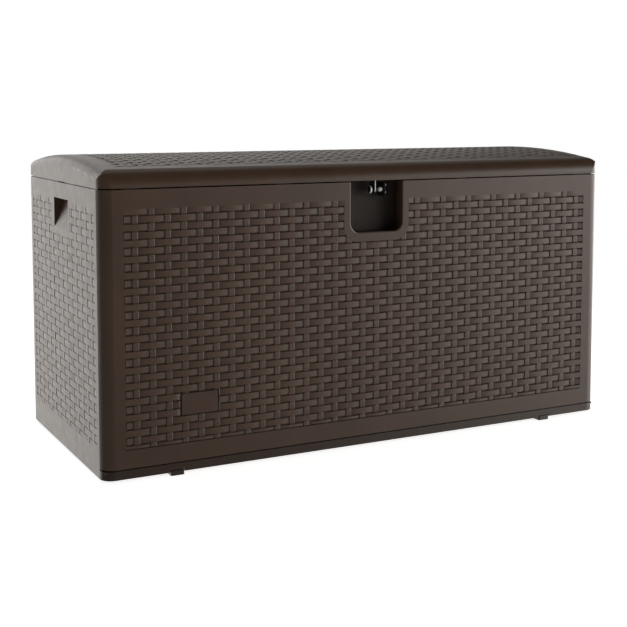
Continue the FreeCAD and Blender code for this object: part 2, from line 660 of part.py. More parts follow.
def keeper_plate():
    """A bent plate on the recess's back wall, with the hole that the pin's ball enters."""
    back = "front + recess_deep"
    blade = block("keeper_blade", ("keeper_x", "pin_y - keeper_reach", "keeper_low"),
                  ("keeper_x + hasp", back, "keeper_high"))
    blade = rounded("keeper_blade_round", blade, size("plate_round"),
                    lambda edge: along(edge, V(1, 0, 0)) and edge.CenterOfMass.y < size("pin_y"))
    flange = block("keeper_flange_part", ("keeper_x", f"{back} - hasp", "keeper_low"),
                   ("keeper_x + keeper_flange", back, "keeper_high"))
    holes = [rod("keeper_eye", ("keeper_x - 1", "pin_y", "pin_z"), "x", "keeper_hole", "hasp + 2")]
    holes += [rod(f"keeper_flange_hole_{n}", (x, f"{back} - hasp - 1", z), "y", "screw_hole", "hasp + 2")
              for n, (x, z) in enumerate(keeper_screw_places())]
    return finish(cut("keeper_done", fuse("keeper_whole", [blade, flange]), holes), "keeper_plate")


# ---------------------------------------------------------------- gas struts

def strut_bracket(side):
    """A plate on the side panel with the pin that the strut's lower eye turns on."""
    name = SIDE_NAME[side]
    low_x, high_x = span(side, "half_width - skin - bracket", "half_width - skin")
    plate = block(f"{name}_bracket_plate",
                  (low_x, "strut_y - bracket_half_wide", "strut_z - bracket_half_high"),
                  (high_x, "strut_y + bracket_half_wide", "strut_z + bracket_half_high"))
    plate = rounded(f"{name}_bracket_round", plate, size("bracket_round"), lambda edge: along(edge, V(1, 0, 0)))
    low_x, high_x = span(side, "strut_x - eye_half - pin_past_eye", "half_width - skin - 1")
    pin = rod(f"{name}_bracket_pin", (low_x, "strut_y", "strut_z"), "x", "strut_pin", f"({high_x}) - ({low_x})")
    low_x, high_x = span(side, "strut_x + eye_half + collar_gap", "half_width - skin - 1")
    collar = rod(f"{name}_bracket_collar", (low_x, "strut_y", "strut_z"), "x", "collar",
                 f"({high_x}) - ({low_x})")
    holes = []
    low_x, high_x = span(side, "half_width - skin - bracket - 1", "half_width - skin + 1")
    for n, (y, z) in enumerate(bracket_screw_places()):
        holes.append(rod(f"{name}_plate_hole_{n}", (low_x, y, z), "x", "screw_hole",
                         f"({high_x}) - ({low_x})"))
    whole = fuse(f"{name}_bracket_whole", [plate, pin, collar])
    return finish(cut(f"{name}_bracket_done", whole, holes), f"{name}_strut_bracket")


def lid_stud(side):
    """A bent plate under the liner with the stud that carries the strut's upper end."""
    name = SIDE_NAME[side]
    low_x, high_x = span(side, "stud_plate_x", "stud_plate_x + hasp")
    low_y, high_y = "stud_y - stud_plate_half", "stud_y + stud_plate_half"
    plate = block(f"{name}_stud_plate", (low_x, low_y, "stud_z - stud_plate_drop"), (high_x, high_y, "liner_low"))
    plate = rounded(f"{name}_stud_plate_round", plate, size("bracket_round"),
                    lambda edge: along(edge, V(1, 0, 0)) and edge.CenterOfMass.z < size("stud_z"))
    low_x, high_x = span(side, "stud_plate_x - stud_flange", "stud_plate_x + hasp")
    flange = block(f"{name}_stud_flange", (low_x, low_y, "liner_low - bracket"), (high_x, high_y, "liner_low"))
    low_x, high_x = span(side, "strut_x + eye_half + open_gap", "stud_plate_x + 1")
    stud = rod(f"{name}_stud_pin", (low_x, "stud_y", "stud_z"), "x", "strut_pin", f"({high_x}) - ({low_x})")
    holes = [rod(f"{name}_flange_hole_{n}", (x, y, "liner_low - bracket - 1"), "z", "screw_hole", "bracket + 2")
             for n, (x, y) in enumerate(stud_screw_places(side))]
    whole = fuse(f"{name}_stud_whole", [plate, flange, stud])
    return finish(cut(f"{name}_stud_done", whole, holes), f"{name}_lid_stud")


def tilt():
    """Turns +Z onto the strut's line at rest, from its lower pin to the lid's stud."""
    line = V(0, size("stud_y") - size("strut_y"), size("stud_z") - size("strut_z"))
    return FreeCAD.Rotation(V(0, 0, 1), line), line.Length


def on_strut(name, side, start, radius, length):
    """A cylinder on the strut's line, starting at a distance from the lower pin."""
    rotation, _ = tilt()
    item = doc.addObject("Part::Cylinder", name)
    bind(item, "Radius", radius)
    bind(item, "Height", length)
    foot = V(side * size("strut_x"), size("strut_y"), size("strut_z")) + rotation.multVec(V(0, 0, start))
    item.Placement = FreeCAD.Placement(foot, rotation)
    return item


def strut_tube(side):
    """The pressure tube, open at the end where the rod comes out."""
    name = SIDE_NAME[side]
    tube = on_strut(f"{name}_tube", side, size("strut_tube_start"), "strut_tube", "strut_tube_long")
    tube = rounded(f"{name}_tube_round", tube, size("strut_tube_round"), circular)
    bore = on_strut(f"{name}_tube_bore", side, size("strut_bore_start"), "strut_rod + running", "strut_tube_long")
    return finish(cut(f"{name}_tube_done", tube, [bore]), f"{name}_strut_tube")


def strut_eye(side):
    """The eye that turns on the bracket's pin, with the neck that carries the tube."""
    name = SIDE_NAME[side]
    low_x, _ = span(side, "strut_x - eye_half", "strut_x + eye_half")
    eye = rod(f"{name}_eye", (low_x, "strut_y", "strut_z"), "x", "eye", "2 * eye_half")
    neck = on_strut(f"{name}_neck", side, size("neck_start"), "neck", "strut_tube_start - neck_start")
    bore = rod(f"{name}_eye_bore", (low_x, "strut_y", "strut_z"), "x", "strut_pin + running", "2 * eye_half")
    return finish(cut(f"{name}_eye_done", fuse(f"{name}_eye_whole", [eye, neck]), [bore]), f"{name}_strut_eye")


def strut_rod(side):
    name = SIDE_NAME[side]
    _, length = tilt()
    start = size("strut_rod_start")
    reach = length - size("sleeve_back") + size("sleeve_long") - start
    return finish(on_strut(f"{name}_rod", side, start, "strut_rod", reach), f"{name}_strut_rod")


def rod_end(side):
    """The socket on the rod's tip, facing the lid's stud across a small gap."""
    name = SIDE_NAME[side]
    low_x, _ = span(side, "strut_x - eye_half", "strut_x + eye_half")
    _, length = tilt()
    start = length - size("sleeve_back")
    piece = rod(f"{name}_socket", (low_x, "stud_y", "stud_z"), "x", "eye", "2 * eye_half")
    sleeve = on_strut(f"{name}_socket_sleeve", side, start, "sleeve", "sleeve_long")
    bore = on_strut(f"{name}_socket_bore", side, start - 1, "strut_rod", "sleeve_long + 1")
    return finish(cut(f"{name}_socket_done", fuse(f"{name}_socket_whole", [piece, sleeve]), [bore]),
                  f"{name}_rod_end")


def label_plate():
    """The blank plate that fills part of the front weave's sunken field."""
    plate = block("label_block", ("label_left", "front", "label_low"),
                  ("label_right", "front + weave", "label_high"))
    return finish(rounded("label_done", plate, size("label_round"), lambda edge: along(edge, V(0, 1, 0))),
                  "label_plate")


def build():
    nodes = [
        base_panel(), front_panel(), rear_panel(), feet("front"), feet("rear"), label_plate(), panel_screws(),
        hinge_rod(), hinge_rod_caps(), keeper_plate(), keeper_screws(), bracket_screws(),
        lid_shell(), lid_liner(), liner_screws(), lid_bumpers(), hasp_plate(), hasp_screws(), stud_screws(),
        lock_pin(),
    ]
    for side in (LEFT, RIGHT):
        nodes += [side_panel(side), strut_bracket(side), lid_stud(side), strut_tube(side), strut_eye(side),
                  strut_rod(side), rod_end(side)]
    return nodes


def write(nodes):
    doc.recompute()
    faulty = [item.Name for item in doc.Objects if "Invalid" in item.State or "Error" in item.State]
    if faulty:
        raise RuntimeError(f"failed objects: {faulty}")
    os.makedirs("parts", exist_ok=True)
    for node in nodes:
        if node.Shape.isNull() or not node.Shape.isValid():
            raise RuntimeError(f"bad shape: {node.Label}")
        node.Shape.exportStep(f"parts/{node.Label}.step")
        print(f"{node.Label:20s} solids {len(node.Shape.Solids)} volume {node.Shape.Volume / 1000:.1f} cm3")


fill_sheet()
write(build())
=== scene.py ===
"""Looks of the deck storage box: woven resin skins, finishes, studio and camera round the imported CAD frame."""

import math

import bmesh
import bpy
import numpy as np
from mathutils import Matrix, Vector


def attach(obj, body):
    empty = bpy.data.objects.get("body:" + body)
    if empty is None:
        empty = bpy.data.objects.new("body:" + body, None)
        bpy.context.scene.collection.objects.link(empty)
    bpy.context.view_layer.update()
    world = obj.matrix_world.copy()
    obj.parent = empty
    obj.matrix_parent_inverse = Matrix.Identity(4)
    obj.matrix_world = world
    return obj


MM = 0.001

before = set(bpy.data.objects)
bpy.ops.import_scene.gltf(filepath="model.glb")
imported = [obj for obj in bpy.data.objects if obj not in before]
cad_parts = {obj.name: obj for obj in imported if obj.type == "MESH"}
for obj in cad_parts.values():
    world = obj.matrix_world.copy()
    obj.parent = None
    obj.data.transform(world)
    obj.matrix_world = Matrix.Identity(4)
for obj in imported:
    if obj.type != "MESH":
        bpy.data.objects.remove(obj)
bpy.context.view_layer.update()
scene = bpy.context.scene


# ---------------------------------------------------------------- camera

CAMERA_PLACE = (-1.433, -2.758, 0.828)
CAMERA_AZIMUTH = -27.28
CAMERA_PITCH = 4.84
CAMERA_SENSOR = 36
CAMERA_LENS = 67.39
CAMERA_SHIFT = -0.17


def add_camera():
    data = bpy.data.cameras.new("camera")
    data.sensor_width = CAMERA_SENSOR
    data.lens = CAMERA_LENS
    data.shift_y = CAMERA_SHIFT
    camera = bpy.data.objects.new("camera", data)
    turn, tilt = math.radians(CAMERA_AZIMUTH), math.radians(CAMERA_PITCH)
    ahead = Vector((-math.sin(turn) * math.cos(tilt), math.cos(turn) * math.cos(tilt), -math.sin(tilt)))
    camera.location = CAMERA_PLACE
    camera.rotation_mode = "QUATERNION"
    camera.rotation_quaternion = ahead.to_track_quat("-Z", "Y")
    scene.collection.objects.link(camera)
    scene.camera = camera


# ---------------------------------------------------------------- materials

# the colour sockets of a Mix node
MIX_FIRST, MIX_SECOND, MIX_RESULT = 6, 7, 2


class Nodes:
    """A material's node tree, with short calls for the nodes that these finishes use."""

    def __init__(self, name):
        self.material = bpy.data.materials.new(name)
        self.material.use_nodes = True
        self.tree = self.material.node_tree
        self.shader = self.tree.nodes["Principled BSDF"]

    def node(self, kind, **settings):
        made = self.tree.nodes.new(kind)
        for key, value in settings.items():
            setattr(made, key, value)
        return made

    def join(self, source, target):
        self.tree.links.new(source, target)

    def put(self, socket, value):
        """A number, a colour or another node's output into one socket."""
        if isinstance(value, tuple):
            socket.default_value = (*value, 1)
        elif isinstance(value, (int, float)):
            socket.default_value = value
        else:
            self.join(value, socket)

    def coordinates(self, stretch=(1, 1, 1)):
        place = self.node("ShaderNodeTexCoord")
        mapping = self.node("ShaderNodeMapping")
        mapping.inputs["Scale"].default_value = stretch
        self.join(place.outputs["Object"], mapping.inputs["Vector"])
        return mapping.outputs["Vector"]

    def axes(self):
        parts = self.node("ShaderNodeSeparateXYZ")
        self.join(self.coordinates(), parts.inputs[0])
        return parts.outputs

    def attribute(self, name):
        return self.node("ShaderNodeAttribute", attribute_name=name).outputs["Fac"]

    def noise(self, scale, stretch=(1, 1, 1), detail=3.0, rough=0.55):
        made = self.node("ShaderNodeTexNoise")
        made.inputs["Scale"].default_value = scale
        made.inputs["Detail"].default_value = detail
        made.inputs["Roughness"].default_value = rough
        self.join(self.coordinates(stretch), made.inputs["Vector"])
        return made.outputs["Fac"]

    def ramp(self, source, stops):
        """A colour from dark to light, from two stops of place and colour."""
        made = self.node("ShaderNodeValToRGB")
        for point, (place, colour) in zip(made.color_ramp.elements, stops):
            point.position, point.color = place, (*colour, 1)
        self.join(source, made.inputs["Fac"])
        return made.outputs["Color"]

    def remap(self, source, low, high, from_low=0.3, from_high=0.7):
        made = self.node("ShaderNodeMapRange")
        made.inputs["From Min"].default_value = from_low
        made.inputs["From Max"].default_value = from_high
        made.inputs["To Min"].default_value = low
        made.inputs["To Max"].default_value = high
        self.join(source, made.inputs["Value"])
        return made.outputs["Result"]

    def math(self, operation, first, second=0.0):
        made = self.node("ShaderNodeMath", operation=operation)
        self.put(made.inputs[0], first)
        self.put(made.inputs[1], second)
        return made.outputs["Value"]

    def mix(self, amount, first, second):
        made = self.node("ShaderNodeMix", data_type="RGBA")
        self.join(amount, made.inputs["Factor"])
        self.put(made.inputs[MIX_FIRST], first)
        self.put(made.inputs[MIX_SECOND], second)
        return made.outputs[MIX_RESULT]

    def bump(self, height, distance, strength, below=None):
        made = self.node("ShaderNodeBump")
        made.inputs["Distance"].default_value = distance
        made.inputs["Strength"].default_value = strength
        self.join(height, made.inputs["Height"])
        if below:
            self.join(below, made.inputs["Normal"])
        return made.outputs["Normal"]

    def set(self, **values):
        for key, value in values.items():
            self.put(self.shader.inputs[key.replace("_", " ")], value)


def scaled(colour, amount):
    return tuple(amount * channel for channel in colour)


# resin: linear colours, noise scales per metre, and a bump's depth in metres with its strength
RESIN_DARK = (0.044, 0.0236, 0.0134)
RESIN_LIGHT = (0.0555, 0.0304, 0.0176)
RESIN_IOR = 1.46
RESIN_ROUGH = (0.28, 0.35)
CLOUD_SCALE = 5.0
CLOUD_STOPS = (0.32, 0.68)
SHEEN_SCALE = 35.0
PEBBLE_SCALE = 1500.0
PEBBLE_BUMP = (0.00012, 0.35)

# the grain on the weave runs along each strip: slow along it and fast across it
GRAIN_SCALE = 90.0
GRAIN_STRIP = (0.35, 0.35, 9.0)
GRAIN_WARP = (9.0, 9.0, 0.35)
GRAIN_BUMP = (0.0006, 0.5)
GRAIN_PALE, GRAIN_SHARE = 1.35, 0.45
# painted shade in the weave's gaps: their colour darkens to this share of the dark resin, fully at the floor share
# of the crown's height and fading out by the top share; the gaps also get rougher by up to this much
GAP_PAINTED_SHADE, GAP_FLOOR = 0.25, 0.1
GAP_SHADE_TOP, GAP_ROUGH_TOP = 0.75, 0.7
GAP_ROUGH = 0.4

# painted shade: the front panel's colour darkens into the latch recess, and it also dulls, from none to full between
# these two Y, in metres
RECESS_PAINTED_SHADE_Y = (-0.309, -0.280)
RECESS_PAINTED_SHADE_TONE = 0.35
RECESS_ROUGH = 0.35

LOW_TONE = 0.55


def resin(name, woven=False, with_recess_shade=False, tone=1.0):
    """Moulded espresso resin: a cloudy brown, a fine pebbled skin, and on the weave a grain along each strip, with
    painted shade darkening its gaps; on the front panel, painted shade darkens it into the latch recess.
    """
    made = Nodes(name)
    ends = scaled(RESIN_DARK, tone), scaled(RESIN_LIGHT, tone)
    colour = made.ramp(made.noise(CLOUD_SCALE, detail=4.0), zip(CLOUD_STOPS, ends))
    normal = made.bump(made.noise(PEBBLE_SCALE, detail=2.0), *PEBBLE_BUMP)
    rough = made.remap(made.noise(SHEEN_SCALE), *RESIN_ROUGH)
    if woven:
        along_strip = made.noise(GRAIN_SCALE, GRAIN_STRIP, detail=4.0)
        along_warp = made.noise(GRAIN_SCALE, GRAIN_WARP, detail=4.0)
        streaks = made.mix(made.attribute("warp"), along_strip, along_warp)
        normal = made.bump(streaks, *GRAIN_BUMP, normal)
        colour = made.mix(made.remap(streaks, 0.0, GRAIN_SHARE), colour, scaled(RESIN_LIGHT, GRAIN_PALE))
        # painted shade: the lower the weave's surface lies in a gap, the darker its colour
        raised = made.attribute("height")
        sunk = made.remap(raised, 1.0, 0.0, GAP_FLOOR, GAP_SHADE_TOP)
        colour = made.mix(sunk, colour, scaled(RESIN_DARK, GAP_PAINTED_SHADE))
        rough = made.math("ADD", rough, made.remap(raised, GAP_ROUGH, 0.0, GAP_FLOOR, GAP_ROUGH_TOP))
    # painted shade: the colour darkens and the surface dulls going into the latch recess
    if with_recess_shade:
        recess_shade_amount = made.remap(made.axes()["Y"], 0.0, 1.0, *RECESS_PAINTED_SHADE_Y)
        colour = made.mix(recess_shade_amount, colour, scaled(RESIN_DARK, RECESS_PAINTED_SHADE_TONE))
        rough = made.math("ADD", rough, made.math("MULTIPLY", recess_shade_amount, RECESS_ROUGH))
    made.set(Base_Color=colour, Roughness=rough, IOR=RESIN_IOR, Normal=normal)
    return made.material


METAL_SPOTS = 180.0
METAL_STOPS = (0.3, 0.7)
METAL_GRAIN = 1400.0
METAL_BUMP = (0.00006, 0.3)
METAL_SHEEN = 60.0


def metal(name, dark, light, rough, stretch=(1, 1, 1), metallic=1.0, ior=1.5):
    """A metal or painted finish: spotted tone, brushed or rolled bump, and roughness that wanders."""
    made = Nodes(name)
    colour = made.ramp(made.noise(METAL_SPOTS, stretch, detail=4.0), zip(METAL_STOPS, (dark, light)))
    normal = made.bump(made.noise(METAL_GRAIN, stretch), *METAL_BUMP)
    sheen = made.remap(made.noise(METAL_SHEEN), *rough)
    made.set(Base_Color=colour, Roughness=sheen, Metallic=metallic, IOR=ior, Normal=normal)
    return made.material


# the pin lies along X at this Y and Z; bright from this radius out, and from this X on, each from none to full
PIN_Y, PIN_Z = -0.294, 0.630
PIN_RIM = (0.0086, 0.0090)
PIN_BALL = (0.0145, 0.0150)
PIN_BLACK = (0.010, 0.011, 0.013)
PIN_STEEL = ((0.72, 0.72, 0.71), (0.84, 0.84, 0.83))
PIN_SPOTS = 240.0
PIN_SHEEN = 90.0
PIN_ROUGH = (0.40, 0.50)
PIN_METAL = 0.55


def capped_pin():
    """The lock pin: bright steel on its ball and on the rim of its head, black between and on the head's face."""
    made = Nodes("capped_pin")
    axes = made.axes()
    off_y = made.math("ADD", axes["Y"], -PIN_Y)
    off_z = made.math("ADD", axes["Z"], -PIN_Z)
    squares = made.math("ADD", made.math("MULTIPLY", off_y, off_y), made.math("MULTIPLY", off_z, off_z))
    rim = made.remap(made.math("SQRT", squares), 0.0, 1.0, *PIN_RIM)
    ball = made.remap(axes["X"], 0.0, 1.0, *PIN_BALL)
    bright = made.math("MAXIMUM", rim, ball)
    spots = made.ramp(made.noise(PIN_SPOTS), zip(METAL_STOPS, PIN_STEEL))
    made.set(Base_Color=made.mix(bright, PIN_BLACK, spots),
             Roughness=made.remap(made.noise(PIN_SHEEN), *PIN_ROUGH),
             Metallic=made.math("MULTIPLY", bright, PIN_METAL))
    return made.material


PLASTIC_IOR = 1.48
PLASTIC_MOTTLE = 40.0
PLASTIC_STOPS = (0.3, 0.7)
PLASTIC_BUMP = (0.00015, 0.4)
PLASTIC_SHEEN = 70.0


def soft_plastic(name, dark, light, rough, grain):
    """Rubber or black plastic: matt, lightly mottled, with a fine moulded grain."""
    made = Nodes(name)
    colour = made.ramp(made.noise(PLASTIC_MOTTLE, detail=4.0), zip(PLASTIC_STOPS, (dark, light)))
    normal = made.bump(made.noise(grain, detail=2.0), *PLASTIC_BUMP)
    sheen = made.remap(made.noise(PLASTIC_SHEEN), *rough)
    made.set(Base_Color=colour, Roughness=sheen, IOR=PLASTIC_IOR, Normal=normal)
    return made.material


# ---------------------------------------------------------------- pieces


def add_resin_piece(name, body, points, faces, material, sharp_angle):
    """A closed mesh that rides on a body, smooth except at edges sharper than the angle in degrees."""
    mesh = bpy.data.meshes.new(name)
    mesh.from_pydata(points, [], faces)
    builder = bmesh.new()
    builder.from_mesh(mesh)
    bmesh.ops.recalc_face_normals(builder, faces=builder.faces)
    builder.to_mesh(mesh)
    builder.free()
    mesh.polygons.foreach_set("use_smooth", [True] * len(mesh.polygons))
    mesh.set_sharp_from_angle(angle=math.radians(sharp_angle))
    mesh.materials.append(material)
    piece = bpy.data.objects.new(name, mesh)
    scene.collection.objects.link(piece)
    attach(piece, body)
    return mesh


# ---------------------------------------------------------------- weave

# strips run across a field, in rows; warps are the uprights that they cross over and under, in millimetres
ROW_PITCH = 17.6
ROWS_BELOW = 30
WARP_HALF = 7.5
WEAVE_SHARP = 18

# heights above the field's sunk floor: a strip's crown, the gaps, and the mesh's back, a little way into the panel
CROWN = 2.9
GAP_LEVEL = 0.15
BACK_LEVEL = -0.25

# the grid's lines round a strip's middle and round a warp's middle, and between two warps as shares of the pitch
ROW_LINES = (-7.6, -7.3, -6.7, 0.0, 6.7, 7.3, 7.6)
WARP_LINES = (-8.2, -7.7, -7.3, -5.7, 0.0, 5.7, 7.3, 7.7, 8.2)
BETWEEN_WARPS = (0.395, 0.605)
LEAST_SPACING = 0.25

# a strip: how far its crown dips to where it goes under, how round the dip is, and its rounded long edges
STRIP_DIP, STRIP_BEND = 1.7, 2.3
STRIP_EDGE = ((0, 6.7, 7.3, 7.6), (1.0, 0.975, 0.75, 0.0))
STRIP_REACH = 7.55

# a warp: its height by the distance from the row that it is over, and its rounded long edges
WARP_HEIGHT = ((0, 6.7, 7.6, 10.0), (2.85, 2.65, 2.6, 1.5))
WARP_EDGE = ((0, 5.7, 7.3, 7.7), (1.0, 0.985, 0.75, 0.0))
WARP_REACH = 7.75

# short strip ends at a field's edges stop in a groove
EDGE_GROOVE = 1.3
GROOVE_REACH = 0.8


def grid_lines(centres, offsets, low, high, between, extra):
    """The grid's lines across one direction: offsets round every centre, some between, the two ends, and extras."""
    lines = [low, high, *extra]
    for centre in centres:
        lines += [centre + offset for offset in offsets]
    for first, second in zip(centres, centres[1:]):
        lines += [first + (second - first) * part for part in between]
    lines = sorted(line for line in lines if low <= line <= high)
    kept = [lines[0]]
    for line in lines[1:]:
        if line - kept[-1] > LEAST_SPACING:
            kept.append(line)
    kept[-1] = high
    return np.array(kept)


def weave_heights(across, along, warps, first_row, odd, edges):
    """Height of the woven surface above the sunk floor, and 1 where a warp is on top, on the grid of lines.

    A warp is on top where its number and the row's number add up to an odd number, or with odd=False an even one.
    """
    u, v = np.meshgrid(across, along)
    pitch = warps[1] - warps[0]
    warp_number = np.clip(np.rint((u - warps[0]) / pitch), 0, len(warps) - 1)
    row_number = np.rint((first_row - v) / ROW_PITCH)
    du = u - (warps[0] + warp_number * pitch)
    dv = v - (first_row - row_number * ROW_PITCH)
    over = (warp_number + row_number) % 2 == (1 if odd else 0)

    from_crown = np.where(over, pitch - np.abs(du), np.abs(du))
    past_last_warp = (np.abs(u) > warps[-1]) & ~over
    from_crown = np.where(past_last_warp, 0, from_crown)
    strip = CROWN - STRIP_DIP * np.clip(from_crown / (pitch - WARP_HALF), 0, 1) ** STRIP_BEND
    strip = GAP_LEVEL + (strip - GAP_LEVEL) * np.interp(np.abs(dv), *STRIP_EDGE)

    from_row = np.where(over, np.abs(dv), ROW_PITCH - np.abs(dv))
    warp = np.interp(from_row, *WARP_HEIGHT)
    warp = GAP_LEVEL + (warp - GAP_LEVEL) * np.interp(np.abs(du), *WARP_EDGE)
    in_gap = np.abs(dv) >= STRIP_REACH
    on_warp = (np.abs(du) <= WARP_REACH) & (over | in_gap)
    height = np.where(on_warp, warp, strip)

    for edge in edges:
        groove = (np.abs(u - edge) < EDGE_GROOVE * GROOVE_REACH) & over & ~in_gap
        height = np.where(groove, GAP_LEVEL, height)
    return height, on_warp.astype(float)


def runs(flags):
    """The first and the one past the last of every run of true flags."""
    steps = np.diff(np.concatenate([[False], flags, [False]]).astype(int))
    return list(zip(np.nonzero(steps == 1)[0], np.nonzero(steps == -1)[0]))


def skin(name, body, across, along, height, warp, place, keep):
    """A closed mesh under the height grid: its cells on top, walls round what is kept, and long faces behind."""
    deep, wide = keep.shape
    top_used = np.zeros(height.shape, bool)
    for shift_v in (0, 1):
        for shift_u in (0, 1):
            top_used[shift_v : shift_v + deep, shift_u : shift_u + wide] |= keep
    number = -np.ones(height.shape, int)
    number[top_used] = np.arange(top_used.sum())
    u, v = np.meshgrid(across, along)
    points = [place(a, b, h) for a, b, h in zip(u[top_used], v[top_used], height[top_used])]
    j, i = np.nonzero(keep)
    faces = np.stack([number[j, i], number[j, i + 1], number[j + 1, i + 1], number[j + 1, i]], 1).tolist()

    row_runs = [runs(row) for row in keep]
    behind = {}
    used = []
    for line in range(deep + 1):
        ends = set()
        for row in (line - 1, line):
            if 0 <= row < deep:
                for start, stop in row_runs[row]:
                    ends |= {start, stop}
        used.append(sorted(ends))
        for end in ends:
            behind[line, end] = len(points)
            points.append(place(across[end], along[line], BACK_LEVEL))

    def back_line(line, start, stop):
        return [behind[line, end] for end in used[line] if start <= end <= stop]

    for row, found in enumerate(row_runs):
        for start, stop in found:
            faces.append(back_line(row, start, stop) + back_line(row + 1, start, stop)[::-1])
            for side in (start, stop):
                faces.append([number[row, side], number[row + 1, side], behind[row + 1, side], behind[row, side]])
    empty = np.zeros(wide, bool)
    for line in range(deep + 1):
        below = keep[line - 1] if line else empty
        above = keep[line] if line < deep else empty
        for part in (below & ~above, above & ~below):
            for start, stop in runs(part):
                rim = [number[line, at] for at in range(start, stop + 1)]
                faces.append(rim + back_line(line, start, stop)[::-1])

    mesh = add_resin_piece(name, body, points, faces, WOVEN, WEAVE_SHARP)
    for attribute, top in (("warp", warp[top_used]), ("height", height[top_used] / CROWN)):
        values = np.concatenate([top, np.zeros(len(behind))]).astype(np.float32)
        mesh.attributes.new(attribute, "FLOAT", "POINT").data.foreach_set("value", values)


def cell_keep(across, along, *holes):
    """Which grid cells stay: all but those whose middle is in one of the holes (low u, high u, low v, high v)."""
    u, v = np.meshgrid((across[1:] + across[:-1]) / 2, (along[1:] + along[:-1]) / 2)
    keep = np.ones(u.shape, bool)
    for low_u, high_u, low_v, high_v in holes:
        keep &= ~((u > low_u) & (u < high_u) & (v > low_v) & (v < high_v))
    return keep


def field_lines(half, warps, first_row, low, high, extra_u=(), extra_v=()):
    """The grid's lines across and along one woven field, with lines at the grooves along both its ends."""
    grooves = [side * (half - EDGE_GROOVE * part) for side in (-1, 1) for part in (0.5, 1)]
    rows = sorted(first_row - ROW_PITCH * n for n in range(-1, ROWS_BELOW))
    across = grid_lines(warps, WARP_LINES, -half, half, BETWEEN_WARPS, [*grooves, *extra_u])
    return across, grid_lines(rows, ROW_LINES, low, high, (), extra_v)


# walls: the sunk floor of each field is this far from the box's middle
FRONT_FLOOR = -311.0
REAR_FLOOR = 306.0
SIDE_FLOOR = 687.0
MIDDLE_Y = -2.5
FIELD_TOP = 607.0
FIELD_BOTTOM = 72.0
FIELD_FIRST_ROW = 584.2

LONG_HALF = 637.0
LONG_LAST_WARP = 611.7
LONG_GAPS = 32
WARPS_LONG = [-LONG_LAST_WARP + 2 * LONG_LAST_WARP / LONG_GAPS * n for n in range(LONG_GAPS + 1)]

SIDE_HALF = 266.0
SIDE_LAST_WARP = 240.0
SIDE_PITCH = 40.0
SIDE_GAPS = 12
WARPS_SIDE = [-SIDE_LAST_WARP + SIDE_PITCH * n for n in range(SIDE_GAPS + 1)]
# the sides' relief is this share of the front's
SIDE_RELIEF = 0.45

# plain areas within the fields: low and high across, low and high along
LABEL = (-506.0, -418.0, 137.0, 185.0)
LABEL_GAP = 1.3
RECESS_AREA = (-80.0, 80.0, 516.0, 700.0)
POCKET_AREA = (-68.0, 68.0, 531.0, 700.0)
POCKET_BORDER = 74.0

# the groove along the front field's lower edge ends between these two heights
LOW_GROOVE = (FIELD_BOTTOM + 1.8, FIELD_BOTTOM + 2.2)
LOW_GROOVE_MIDDLE = FIELD_BOTTOM + 2.0
LINE_SLACK = 0.1


def front_weave():
    low_x, high_x, low_z, high_z = LABEL
    across, along = field_lines(
        LONG_HALF, WARPS_LONG, FIELD_FIRST_ROW, FIELD_BOTTOM, FIELD_TOP,
        [low_x - LABEL_GAP, low_x, high_x, high_x + LABEL_GAP, *RECESS_AREA[:2]],
        [low_z - LABEL_GAP, low_z, high_z, high_z + LABEL_GAP, RECESS_AREA[2], *LOW_GROOVE])
    height, warp = weave_heights(across, along, WARPS_LONG, FIELD_FIRST_ROW, False, (-LONG_HALF, LONG_HALF))
    u, v = np.meshgrid(across, along)
    reach = LABEL_GAP + LINE_SLACK
    label = (u > low_x - reach) & (u < high_x + reach) & (v > low_z - reach) & (v < high_z + reach)
    height[label | (v < LOW_GROOVE_MIDDLE)] = GAP_LEVEL
    skin("front_weave", "box", across, along, height, warp,
         lambda u, v, h: (u * MM, (FRONT_FLOOR - h) * MM, v * MM), cell_keep(across, along, RECESS_AREA))


def rear_weave():
    across, along = field_lines(LONG_HALF, WARPS_LONG, FIELD_FIRST_ROW, FIELD_BOTTOM, FIELD_TOP)
    height, warp = weave_heights(across, along, WARPS_LONG, FIELD_FIRST_ROW, False, (-LONG_HALF, LONG_HALF))
    skin("rear_weave", "box", across, along, height, warp,
         lambda u, v, h: (-u * MM, (REAR_FLOOR + h) * MM, v * MM), cell_keep(across, along))


def side_weave(name, sign):
    groove = POCKET_BORDER + EDGE_GROOVE
    across, along = field_lines(
        SIDE_HALF, WARPS_SIDE, FIELD_FIRST_ROW, FIELD_BOTTOM, FIELD_TOP,
        [-groove, -POCKET_BORDER, POCKET_BORDER, groove, *POCKET_AREA[:2]], [POCKET_AREA[2]])
    edges = (-SIDE_HALF, -POCKET_BORDER, POCKET_BORDER, SIDE_HALF)
    height, warp = weave_heights(across, along, WARPS_SIDE, FIELD_FIRST_ROW, False, edges)
    height = CROWN - (CROWN - height) * SIDE_RELIEF
    skin(name, "box", across, along, height, warp,
         lambda u, v, h: (sign * (SIDE_FLOOR + h) * MM, (MIDDLE_Y + u) * MM, v * MM),
         cell_keep(across, along, POCKET_AREA))


# the lid's arch: its chord and rise give the radius, and the field reaches this far from the middle, measured flat
LID_CHORD = 286.5
LID_RISE = 21.0
LID_TOP_FLOOR = 712.0
LID_RADIUS = (LID_CHORD**2 + LID_RISE**2) / (2 * LID_RISE)
LID_FIELD_REACH = 261.5
LID_HALF = LID_RADIUS * math.asin(LID_FIELD_REACH / LID_RADIUS)
LID_FIRST_ROW = 14 * ROW_PITCH


def on_lid(u, v, h):
    turn = v / LID_RADIUS
    reach = LID_RADIUS + h
    height = LID_TOP_FLOOR - LID_RADIUS + reach * math.cos(turn)
    return (u * MM, (MIDDLE_Y + reach * math.sin(turn)) * MM, height * MM)


